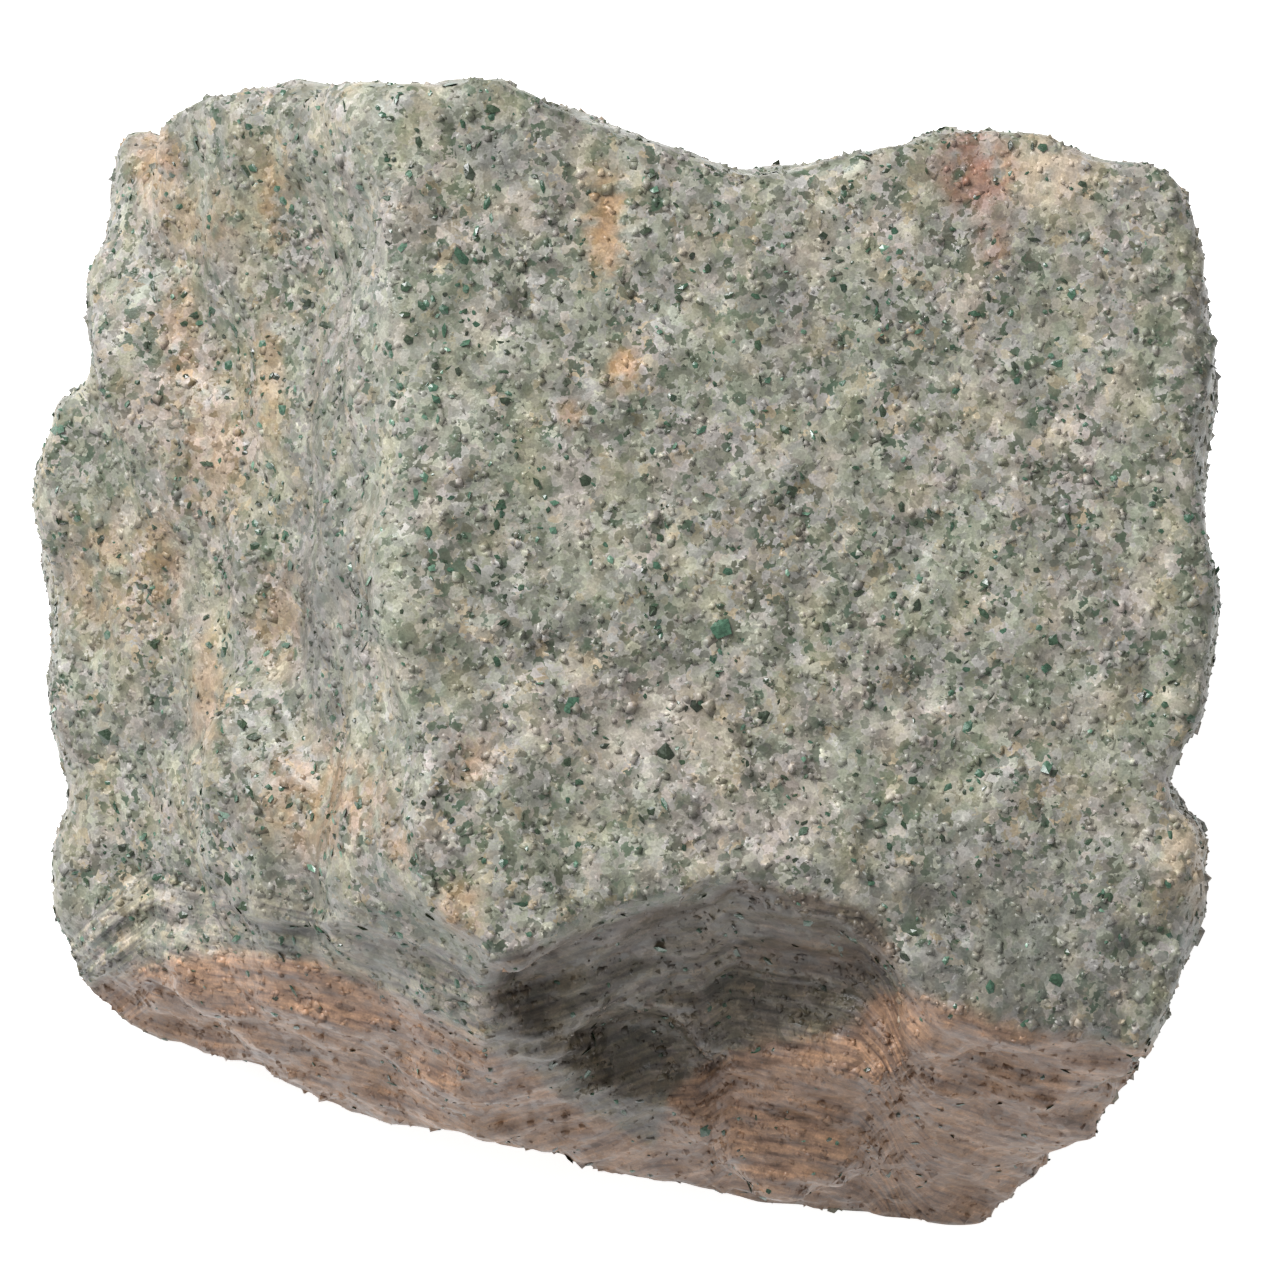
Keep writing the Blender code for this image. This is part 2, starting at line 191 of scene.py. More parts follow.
STAINS = [
    Stain(Tint.ORANGE, (-1.6, 20.8), (1.4, 3.2), 1.0),
    Stain(Tint.ORANGE, (-0.8, 13.6), (1.0, 1.4), 1.0),
    Stain(Tint.ORANGE, (-3.4, 11.4), (0.8, 0.8), 0.7),
    Stain(Tint.ORANGE, (-8.6, -6.0), (1.3, 1.4), 0.7),
    Stain(Tint.ORANGE, (-9.0, -13.4), (1.2, 1.8), 0.7),
    Stain(Tint.ORANGE, (-12.0, -10.4), (1.0, 1.2), 0.6),
    Stain(Tint.ORANGE, (-16.0, -8.0), (4.0, 3.4), 0.6),
    Stain(Tint.ORANGE, (-22.0, 21.0), (2.6, 2.2), 0.5),
    Stain(Tint.ORANGE, (-21.4, 10.0), (3.0, 5.0), 0.45),
    Stain(Tint.ORANGE, (-27.0, 3.0), (2.4, 4.0), 0.5),
    Stain(Tint.ORANGE, (-18.2, 1.0), (1.6, 3.4), 0.45),
    Stain(Tint.ORANGE, (-24.2, 23.6), (1.4, 2.4), 0.7),
    Stain(Tint.ORANGE, (-18.4, 22.0), (1.1, 3.4), 0.6),
    Stain(Tint.ORANGE, (-23.0, 15.0), (1.2, 3.6), 0.6),
    Stain(Tint.ORANGE, (-18.6, 13.0), (1.0, 4.4), 0.55),
    Stain(Tint.ORANGE, (-24.0, 3.6), (1.4, 4.0), 0.55),
    Stain(Tint.ORANGE, (-21.6, -2.4), (1.2, 3.6), 0.6),
    Stain(Tint.SMOKE, (-20.8, 19.0), (0.9, 5.0), 0.6),
    Stain(Tint.SMOKE, (-16.0, 14.0), (0.9, 6.0), 0.7),
    Stain(Tint.RED, (16.8, 23.4), (2.4, 2.6), 1.0),
    Stain(Tint.RED, (17.6, 20.0), (1.2, 1.6), 0.6),
    Stain(Tint.TAN, (20.4, 23.4), (2.6, 2.0), 0.8),
    Stain(Tint.TAN, (27.4, -11.2), (1.8, 2.8), 0.9),
    Stain(Tint.SMOKE, (6.5, 17.0), (1.4, 1.6), 1.0),
    Stain(Tint.SMOKE, (-7.2, 24.2), (1.6, 1.6), 1.0),
    Stain(Tint.SMOKE, (-3.2, 0.9), (1.7, 1.2), 1.0),
    Stain(Tint.SMOKE, (21.0, -3.6), (1.4, 1.6), 0.7),
    Stain(Tint.PALE, (-13.6, 17.6), (1.7, 9.0), 0.25),
    Stain(Tint.SMOKE, (-17.0, -9.0), (5.0, 4.2), 0.55),
    Stain(Tint.ROSE, (0.4, -4.6), (5.6, 3.6), 0.9),
    Stain(Tint.ROSE, (6.4, -8.6), (4.6, 2.8), 0.9, 0.6),
    Stain(Tint.SMOKE, (-15.8, 2.0), (2.6, 9.0), 1.0),
    Stain(Tint.SMOKE, (-23.8, -4.2), (2.2, 1.8), 0.8),
    Stain(Tint.SMOKE, (17.0, -15.0), (10.0, 5.8), 1.0, -0.2),
    Stain(Tint.SMOKE, (-17.5, -13.4), (8.0, 1.6), 0.5, -0.3),
    Stain(Tint.ROSE, (-3.4, 7.0), (1.2, 3.4), 0.9),
    Stain(Tint.ROSE, (-4.0, -3.4), (1.4, 3.2), 0.9, -0.5),
    Stain(Tint.MOSS, (-6.5, -9.5), (3.0, 3.4), 0.8),
    Stain(Tint.MOSS, (14.0, -8.0), (5.0, 4.0), 0.7),
    Stain(Tint.MOSS, (26.5, 4.0), (1.8, 7.0), 0.9),
]

SUNK_STAINS = [
    # The first three patches are painted shade: dark spots down in the hollow
    Stain(Tint.HOLLOW_SHADE, (4.5, -14.6), (8.0, 1.5), 0.5),
    Stain(Tint.HOLLOW_SHADE, (4.4, -16.6), (4.2, 1.4), 0.7),
    Stain(Tint.HOLLOW_SHADE, (0.2, -21.4), (2.0, 3.8), 0.8, 0.3),
    Stain(Tint.BROWN, (8.6, -15.8), (4.6, 1.2), 0.6),
    Stain(Tint.MOSS, (-3.6, -20.2), (3.0, 3.0), 0.8),
    Stain(Tint.MOSS, (5.5, -18.4), (5.0, 1.2), 0.6),
    Stain(Tint.ROSE, (6.4, -24.4), (4.8, 3.0), 0.9),
    Stain(Tint.ROSE, (-9.0, -22.6), (6.0, 1.8), 0.7),
    Stain(Tint.ORANGE, (18.0, -22.6), (5.0, 0.8), 0.3, 0.1),
    Stain(Tint.ORANGE, (15.0, -25.4), (4.0, 0.9), 0.3),
]


@dataclass(frozen=True)
class Scarp:
    """A low step or a crack on the main face, by its two ends in picture millimetres."""

    start: tuple[float, float]
    end: tuple[float, float]
    rise: float = 0.0
    reach: float = 3.0
    crack: float = 0.0
    crack_width: float = 0.3

    def height(self, seen: np.ndarray) -> np.ndarray:
        """How far the step or crack lifts or sinks each place, in millimetres.

        Args:
            seen: where the camera sees each place, in picture millimetres.

        Returns:
            One height for each place.
        """
        start, end = np.array(self.start), np.array(self.end)
        length = float(np.linalg.norm(end - start))
        way = (end - start) / length
        along = (seen - start) @ way / length
        side = (seen - start) @ np.array((way[1], -way[0]))
        ends = smooth_step(along, -0.05, 0.15) * smooth_step(along, 1.05, 0.85)
        step = self.rise * smooth_step(side, -0.35, 0.3) * smooth_step(side, self.reach, 0.2 * self.reach)
        return ends * (step - self.crack * np.exp(-((side / self.crack_width) ** 2)))


SCARPS = [
    Scarp((-5.0, 0.8), (0.4, -4.4), rise=-0.45, reach=4.0),
    Scarp((2.6, -2.8), (11.0, -8.4), rise=-0.5, reach=4.5),
    Scarp((-9.0, -5.0), (-2.0, -9.6), rise=-0.4, reach=3.0),
    Scarp((12.0, -10.0), (17.0, -15.0), rise=-0.4, reach=3.0),
    Scarp((5.2, -4.0), (6.3, -7.6), crack=0.4),
    Scarp((9.2, -4.0), (9.8, -5.4), crack=0.35),
    Scarp((-5.8, 19.0), (-5.7, 16.4), crack=0.5),
    Scarp((1.0, 8.0), (1.2, 4.6), crack=0.3),
    Scarp((14.6, 6.0), (13.8, 2.0), rise=-0.3, reach=3.0),
    Scarp((-8.0, 8.6), (-5.0, 3.0), rise=-0.3, reach=3.0),
]


@dataclass(frozen=True)
class TintField:
    """Spreads the tints over the stone: the patches seen in front, scattered ones behind, and painted shade
    in the hollow under the lip.
    """

    edge: Waves = Waves(1.1)
    fine_edge: Waves = Waves(1.1 / 2.3, 7, 0.6)
    wide_patches: Waves = Waves(7.0, 3)
    moss: Waves = Waves((3.0, 6.0, 4.0), 11)
    honey: Waves = Waves((1.6, 3.0, 2.0), 31)
    rose: Waves = Waves((2.2, 2.6, 2.2), 37)
    rose_on_brown: Waves = Waves(3.4, 15)
    hollow_left: tuple[float, float] = (-8.8, -6.8)
    hollow_right: tuple[float, float] = (14.0, 11.5)
    # Painted shade: how far the hollow's wall is darkened, and the strip under the lip that stands for its
    # shadow
    lip_shade: tuple[float, float] = (1.7, 0.4)
    painted_wall_shade: float = 0.74
    bevel_pale: float = 0.25
    hidden_orange: float = 0.6
    scattered_rose: float = 0.6

    def facing_camera(self, normals: np.ndarray) -> np.ndarray:
        """Share of each surface that the camera can see, by its facing."""
        return smooth_step(normals[:, 2], -0.05, 0.12)

    def seen_from_camera(self, sites: np.ndarray) -> np.ndarray:
        """Where the camera sees each place, in picture millimetres."""
        return sites[:, :2] * (CAMERA_DISTANCE / (CAMERA_DISTANCE - sites[:, 2:3]))

    def weights(self, sites: np.ndarray, normals: np.ndarray) -> dict[Tint, np.ndarray]:
        """Weights of every tint.

        Args:
            sites: the places, in the picture frame.
            normals: the surface normals there, in the picture frame.

        Returns:
            One array of weights from 0 to 1 for each tint.
        """
        ragged = self.edge.at(sites) + self.fine_edge.at(sites)
        in_front = self.facing_camera(normals)
        hidden = 1 - in_front
        seen = self.seen_from_camera(sites)
        below_lip = LIP.depth_below(seen)
        found = {tint: np.zeros(len(sites)) for tint in Tint}

        def add(tint: Tint, weight: np.ndarray) -> None:
            """Raise the weights of a tint where this one is more."""
            found[tint] = np.maximum(found[tint], weight)

        for stain in STAINS:
            add(stain.tint, stain.weight(seen, ragged) * in_front)
        lower = in_front * smooth_step(below_lip + 0.2 * ragged, -0.05, 0.25)
        for stain in SUNK_STAINS:
            add(stain.tint, stain.weight(seen, ragged) * lower)

        wide = self.wide_patches.at(sites) + 0.25 * ragged
        add(Tint.ORANGE, self.hidden_orange * hidden * smooth_step(wide, 0.25, 0.5))
        brown = in_front * smooth_step(BROWN_EDGE.depth_below(seen) + 0.35 * ragged, -0.4, 0.7)
        low_hidden = hidden * smooth_step(-normals[:, 1], 0.3, 0.65)
        brown = np.maximum(brown, low_hidden * smooth_step(wide, -0.5, 0.1))
        add(Tint.BROWN, brown)

        # Painted shade: darken the wall of the hollow, and most of all a strip just under the lip, as a
        # painted shadow
        wall = lower * (1 - brown)
        in_hollow = smooth_step(seen[:, 0], *self.hollow_left) * smooth_step(seen[:, 0], *self.hollow_right)
        painted_lip_shadow = lower * in_hollow * smooth_step(below_lip + 0.4 * ragged, *self.lip_shade)
        add(Tint.HOLLOW_SHADE, np.maximum(self.painted_wall_shade * wall * in_hollow, painted_lip_shadow))
        add(Tint.PALE, self.bevel_pale * wall * smooth_step(seen[:, 0], -7.0, -10.0))

        add(Tint.MOSS, smooth_step(self.moss.at(sites) + 0.3 * ragged, -0.1, 0.5))
        add(Tint.HONEY, smooth_step(self.honey.at(sites) + 0.35 * ragged, 0.05, 0.6))
        add(Tint.ROSE, brown * smooth_step(self.rose_on_brown.at(sites), 0.0, 0.5))
        add(Tint.ROSE, self.scattered_rose * smooth_step(self.rose.at(sites) + 0.35 * ragged, 0.1, 0.6))
        return found

    def layers(self, sites: np.ndarray, normals: np.ndarray) -> tuple[np.ndarray, np.ndarray]:
        """Where each place lies in the stone's thin layers, and how far they show there.

        Args:
            sites: the places, in the picture frame.
            normals: the surface normals there, in the picture frame.

        Returns:
            The place along and across the layers, in millimetres, and a share from 0 to 1.
        """
        in_front = self.facing_camera(normals)
        seen = self.seen_from_camera(sites)
        depth = LIP.depth_below(seen)
        lower = in_front * smooth_step(depth, -0.2, 0.6)
        across = np.where(in_front > 0.5, depth, -0.8 * sites[:, 2])
        along = np.where(in_front > 0.5, sites[:, 0], sites[:, 0] + sites[:, 1])
        place = np.stack([along, across, 0.3 * sites[:, 2]], axis=1)
        return place, np.maximum(lower, 0.35 * (1 - in_front))


class Nodes:
    """Builds a material's nodes in short lines."""

    def __init__(self, material: bpy.types.Material) -> None:
        """Empty the material's tree and keep it.

        Args:
            material: the material that the nodes are for.
        """
        material.use_nodes = True
        self.tree = material.node_tree
        self.tree.nodes.clear()

    def add(self, kind: str, inputs: dict | None = None, **settings: object) -> bpy.types.Node:
        """Add a node.

        Args:
            kind: the node's type.
            inputs: what each input holds or is linked to, by its name or number.
            settings: the node's own properties.

        Returns:
            The new node.
        """
        node = self.tree.nodes.new(kind)
        for name, value in settings.items():
            setattr(node, name, value)
        for key, value in (inputs or {}).items():
            if isinstance(value, Socket):
                self.tree.links.new(value, node.inputs[key])
            else:
                node.inputs[key].default_value = value
        return node

    def attribute(self, name: str) -> bpy.types.Node:
        """Read an attribute of the mesh."""
        return self.add("ShaderNodeAttribute", attribute_name=name)

    def noise(self, where: Socket, scale: float) -> Socket:
        """Smooth noise from 0 to 1."""
        inputs = {"Vector": where, "Scale": scale, "Detail": 2.0, "Roughness": 0.6}
        return self.add("ShaderNodeTexNoise", inputs).outputs[0]

    def span(self, value: Socket, ends: Sequence[float]) -> Socket:
        """Map a value from its low and high to a new low and high."""
        inputs = {0: value, 1: ends[0], 2: ends[1], 3: ends[2], 4: ends[3]}
        return self.add("ShaderNodeMapRange", inputs).outputs[0]

    def math(self, operation: str, first: object, second: object = 0.0) -> Socket:
        """Work out one value from two."""
        return self.add("ShaderNodeMath", {0: first, 1: second}, operation=operation).outputs[0]

    def scaled(self, vector: object, by: object) -> Socket:
        """Scale a vector or a colour."""
        return self.add("ShaderNodeVectorMath", {0: vector, "Scale": by}, operation="SCALE").outputs[0]

    def moved(self, vector: object, by: object) -> Socket:
        """Move a vector by another."""
        return self.add("ShaderNodeVectorMath", {0: vector, 1: by}, operation="ADD").outputs[0]

    def mix(self, share: object, first: object, second: object, blend: str = "MIX") -> Socket:
        """Blend two colours.

        Args:
            share: how much of the second colour comes in.
            first: the first colour.
            second: the second colour.
            blend: the kind of blend.

        Returns:
            The blended colour.
        """
        made = self.add("ShaderNodeMix", data_type="RGBA", blend_type=blend)
        for socket, value in ((made.inputs[0], share), (made.inputs[6], first), (made.inputs[7], second)):
            if isinstance(value, Socket):
                self.tree.links.new(value, socket)
            elif isinstance(value, float):
                socket.default_value = value
            else:
                socket.default_value = (*value, 1)
        return made.outputs[2]

    def ramp(self, value: Socket, stops: Stops) -> Socket:
        """Colours along a value from 0 to 1.

        Args:
            value: the value.
            stops: places along the value, and the colour at each.

        Returns:
            The colour for the value.
        """
        made = self.add("ShaderNodeValToRGB", {0: value})
        elements = made.color_ramp.elements
        while len(elements) < len(stops):
            elements.new(0.5)
        for element, (place, colour) in zip(elements, stops):
            element.position = place
            element.color = (*colour, 1)
        return made.outputs[0]

    def surface(self, shader: bpy.types.Node) -> None:
        """Send a shader to the surface."""
        out = self.add("ShaderNodeOutputMaterial")
        self.tree.links.new(shader.outputs[0], out.inputs[0])


@dataclass(frozen=True)
class QuartziteFinish:
    """Sugar-grained quartz: glassy grey and olive grains with frosted edges, stains between them, and
    painted shade in the hollow.
    """

    name: str = "sugar_grained_quartz"
    tones: Stops = (
        (0.0, (0.052, 0.055, 0.042)),
        (0.14, (0.076, 0.079, 0.060)),
        (0.3, (0.131, 0.131, 0.107)),
        (0.46, (0.194, 0.190, 0.166)),
        (0.62, (0.262, 0.253, 0.229)),
        (0.78, (0.342, 0.328, 0.301)),
        (0.9, (0.445, 0.420, 0.390)),
        (1.0, (0.62, 0.59, 0.555)),
    )
    casts: Stops = (
        (0.0, (0.92, 1.01, 0.89)),
        (0.22, (0.97, 1.01, 0.86)),
        (0.45, (0.98, 1.0, 1.0)),
        (0.6, (1.0, 1.0, 1.05)),
        (0.75, (1.07, 0.98, 0.97)),
        (0.9, (1.05, 1.0, 0.84)),
        (1.0, (1.16, 0.97, 0.72)),
    )
    tints: tuple[tuple[Tint, Colour, float], ...] = (
        (Tint.MOSS, (0.215, 0.24, 0.165), 0.34),
        (Tint.HONEY, (0.38, 0.335, 0.215), 0.34),
        (Tint.ROSE, (0.44, 0.365, 0.33), 0.45),
        (Tint.SMOKE, (0.085, 0.085, 0.081), 0.62),
        (Tint.PALE, (0.42, 0.435, 0.425), 0.45),
        (Tint.BROWN, (0.285, 0.174, 0.112), 0.9),
        # Painted shade: the near-black colour laid in the hollow
        (Tint.HOLLOW_SHADE, (0.080, 0.060, 0.044), 0.9),
        (Tint.TAN, (0.46, 0.36, 0.25), 0.8),
        (Tint.RED, (0.25, 0.115, 0.075), 0.8),
        (Tint.ORANGE, (0.43, 0.235, 0.105), 0.65),
    )
    streaks: Stops = (
        (0.3, (0.42, 0.40, 0.42)),
        (0.43, (0.80, 0.76, 0.76)),
        (0.56, (1.10, 1.05, 0.99)),
        (0.68, (1.50, 1.38, 1.26)),
    )
    dark_speck: tuple[Colour, Colour] = ((0.065, 0.066, 0.045), (0.030, 0.066, 0.036))
    speck_share: float = 0.2
    speck_most: float = 0.88
    more_in_clouds: float = 0.08
    grain: float = 0.42
    patch: float = 0.95
    cloud: float = 2.4
    frost: float = 0.13
    bend_scale: float = 2.6
    bend: float = 0.75
    roughness: tuple[float, float] = (0.34, 0.62)
    bump: tuple[float, float] = (0.4, 0.05)

    def spread_tone(self, nodes: Nodes, parts: Sequence[tuple[Socket, float]]) -> Socket:
        """Add up chances from 0 to 1 by their shares, around a middle tone.

        Args:
            nodes: the material's nodes.
            parts: each chance and its share.

        Returns:
            The tone, mostly from 0 to 1.
        """
        total: object = 0.5 - sum(share for _, share in parts) / 2
        for value, share in parts:
            total = nodes.math("ADD", total, nodes.math("MULTIPLY", value, share))
        return total

    def cells(self, nodes: Nodes, where: Socket, size: float) -> tuple[bpy.types.Node, Socket]:
        """Three chances that change from grain to grain, and the distance from a grain's middle."""
        cells = nodes.add("ShaderNodeTexVoronoi", {"Vector": where, "Scale": 1 / size})
        return nodes.add("ShaderNodeSeparateColor", {0: cells.outputs["Color"]}), cells.outputs["Distance"]

    def bent(self, nodes: Nodes, place: Socket) -> Socket:
        """Bend the places a little, so that no grain has straight edges.

        Args:
            nodes: the material's nodes.
            place: the places, in millimetres.

        Returns:
            The bent places.
        """
        inputs = {"Vector": place, "Scale": self.bend_scale, "Detail": 2.0}
        wave = nodes.add("ShaderNodeTexNoise", inputs).outputs["Color"]
        return nodes.moved(place, nodes.scaled(nodes.moved(wave, (-0.5,) * 3), self.bend))

    def stained(self, nodes: Nodes, colour: Socket, tone: Socket) -> Socket:
        """Lay the tints over the grains' own colour.

        Args:
            nodes: the material's nodes.
            colour: the grains' own colour.
            tone: the grains' tone, which the tints keep in part.

        Returns:
            The stained colour.
        """
        light = nodes.span(tone, (0.1, 0.9, 0.6, 1.3))
        for tint, shade, most in self.tints:
            here = nodes.attribute(tint.value).outputs["Fac"]
            colour = nodes.mix(nodes.math("MULTIPLY", here, most), colour, nodes.scaled(shade, light))
        return colour

    def layered(self, nodes: Nodes, colour: Socket) -> Socket:
        """Streak the colour along the thin layers, where they show.

        Args:
            nodes: the material's nodes.
            colour: the colour without the layers.

        Returns:
            The streaked colour.
        """
        streak = nodes.noise(nodes.attribute("layer_place").outputs["Vector"], 1.0)
        folded = nodes.mix(1.0, colour, nodes.ramp(streak, self.streaks), "MULTIPLY")
        return nodes.mix(nodes.attribute("layer_share").outputs["Fac"], colour, folded)

    def make(self) -> bpy.types.Material:
        """Make the material.

        Returns:
            The new material.
        """
        made = bpy.data.materials.new(self.name)
        nodes = Nodes(made)
        place = nodes.scaled(nodes.add("ShaderNodeTexCoord").outputs["Object"], 1 / MM)
        bent = self.bent(nodes, place)
        grains, middle = self.cells(nodes, bent, self.grain)
        patches, _ = self.cells(nodes, bent, self.patch)
        cloud = nodes.noise(place, 1 / self.cloud)
        luck = nodes.attribute("luck").outputs["Fac"]
        parts = ((grains.outputs[0], 0.4), (luck, 0.22), (patches.outputs[0], 0.26), (cloud, 0.66))
        tone = self.spread_tone(nodes, parts)
        cast = self.spread_tone(nodes, ((grains.outputs[2], 0.55), (patches.outputs[1], 0.7)))
        colour = nodes.mix(1.0, nodes.ramp(tone, self.tones), nodes.ramp(cast, self.casts), "MULTIPLY")
        more = nodes.span(cloud, (0.35, 0.65, self.more_in_clouds, -self.more_in_clouds))
        rare = nodes.math("ADD", grains.outputs[1], more)
        dark = nodes.span(rare, (self.speck_share - 0.03, self.speck_share + 0.02, self.speck_most, 0.0))
        colour = nodes.mix(dark, colour, nodes.mix(patches.outputs[2], *self.dark_speck))
        colour = self.layered(nodes, self.stained(nodes, colour, tone))
        frost = nodes.noise(place, 1 / self.frost)
        rims = nodes.span(middle, (0.3, 0.62, 0.95, 1.1))
        specks = nodes.span(frost, (0.32, 0.68, 0.84, 1.17))
        strength, depth = self.bump
        bump = nodes.add("ShaderNodeBump", {"Strength": strength, "Distance": depth * MM, "Height": frost})
        shader = nodes.add(
            "ShaderNodeBsdfPrincipled",
            {
                "Base Color": nodes.scaled(colour, nodes.math("MULTIPLY", rims, specks)),
                "Roughness": nodes.span(grains.outputs[1], (0.0, 1.0, *self.roughness)),
                "Normal": bump.outputs[0],
                "IOR": 1.54,
            },
        )
        nodes.surface(shader)
        return made


@dataclass(frozen=True)
class FlakeFinish:
    """Green mica: thin glossy flakes from dark olive to teal."""

    name: str = "green_mica"
    tones: Stops = (
        (0.0, (0.022, 0.030, 0.018)),
        (0.35, (0.032, 0.056, 0.028)),
        (0.65, (0.030, 0.075, 0.043)),
        (0.9, (0.05, 0.12, 0.075)),
        (1.0, (0.13, 0.24, 0.165)),
    )
    sheet_shades: Stops = ((0.3, (0.6, 0.6, 0.6)), (0.7, (1.3, 1.3, 1.3)))
    sheets_per_mm: float = 6.0

    def make(self) -> bpy.types.Material:
        """Make the material.

        Returns:
            The new material.
        """
        made = bpy.data.materials.new(self.name)
        nodes = Nodes(made)
        luck = nodes.attribute("luck").outputs["Fac"]
        local = nodes.add("ShaderNodeTexCoord").outputs["Object"]
        sheets = nodes.noise(local, self.sheets_per_mm / MM)
        shade = nodes.ramp(sheets, self.sheet_shades)
        colour = nodes.mix(1.0, nodes.ramp(luck, self.tones), shade, "MULTIPLY")
        bump = nodes.add("ShaderNodeBump", {"Strength": 0.2, "Distance": 0.05 * MM, "Height": sheets})
        shader = nodes.add(
            "ShaderNodeBsdfPrincipled",
            {
                "Base Color": colour,
                "Roughness": nodes.span(sheets, (0.3, 0.7, 0.18, 0.42)),
                "Normal": bump.outputs[0],
                "IOR": 1.6,
            },
        )
        nodes.surface(shader)
        return made


@dataclass(frozen=True)
class FloorFinish:
    """White light table: matt white that glows a little."""

    name: str = "white_table"
    colour: Colour = (0.86, 0.86, 0.86)
    glow: float = 0.8
    texture_scale: float = 900.0

    def make(self) -> bpy.types.Material:
        """Make the material.

        Returns:
            The new material.
        """
        made = bpy.data.materials.new(self.name)
        nodes = Nodes(made)
        local = nodes.add("ShaderNodeTexCoord").outputs["Object"]
        fine = nodes.noise(local, self.texture_scale)
        shader = nodes.add(
            "ShaderNodeBsdfPrincipled",
            {
                "Base Color": (*self.colour, 1),
                "Roughness": nodes.span(fine, (0.3, 0.7, 0.7, 0.85)),
                "Specular IOR Level": 0.1,
                "Emission Color": (1, 1, 1, 1),
                "Emission Strength": self.glow,
            },
        )
        nodes.surface(shader)
        return made


def mesh_points(mesh: bpy.types.Mesh) -> np.ndarray:
    """The mesh's points, one row each.

    Args:
        mesh: the mesh.

    Returns:
        The points, as an array.
    """
    points = np.empty(len(mesh.vertices) * 3, np.float32)
    mesh.vertices.foreach_get("co", points)
    return points.reshape(-1, 3).astype(float)


def mesh_normals(mesh: bpy.types.Mesh) -> np.ndarray:
    """The normals at the mesh's points, one row each.

    Args:
        mesh: the mesh.

    Returns:
        The normals, as an array.
    """
    normals = np.empty(len(mesh.vertices) * 3, np.float32)
    mesh.vertex_normals.foreach_get("vector", normals)
    return normals.reshape(-1, 3).astype(float)


def in_picture(points: np.ndarray, normals: np.ndarray) -> tuple[np.ndarray, np.ndarray]:
    """Turn points and normals from the row frame to the picture frame.

    Args:
        points: the points, in metres.
        normals: the surface normals at the points.

    Returns:
        The points in millimetres, and the normals.
    """
    to_picture = picture_to_row().inverted()
    turned = normals @ np.array(to_picture.to_3x3().normalized().transposed())
    turned /= np.linalg.norm(turned, axis=1, keepdims=True)
    return transformed(points, to_picture), turned


def set_attribute(mesh: bpy.types.Mesh, name: str, values: np.ndarray) -> None:
    """Store one value, or one vector, at each of the mesh's points.

    Args:
        mesh: the mesh.
        name: the attribute's name.
        values: one value or one row for each point.
    """
    kind = "FLOAT_VECTOR" if values.ndim == 2 else "FLOAT"
    made = mesh.attributes.new(name, kind, "POINT")
    key = "vector" if values.ndim == 2 else "value"
    made.data.foreach_set(key, values.astype(np.float32).ravel())


def store_tints(mesh: bpy.types.Mesh, weights: dict[Tint, np.ndarray], repeat: int = 1) -> None:
    """Store the weights of every tint, each repeated for the points that share it."""
    for tint, values in weights.items():
        set_attribute(mesh, tint.value, np.repeat(values, repeat))


def store_layers(mesh: bpy.types.Mesh, place: np.ndarray, share: np.ndarray) -> None:
    """Store where each point lies in the thin layers, scaled to their streaks, and their share."""
    set_attribute(mesh, "layer_place", place / np.array(STREAK))
    set_attribute(mesh, "layer_share", share)


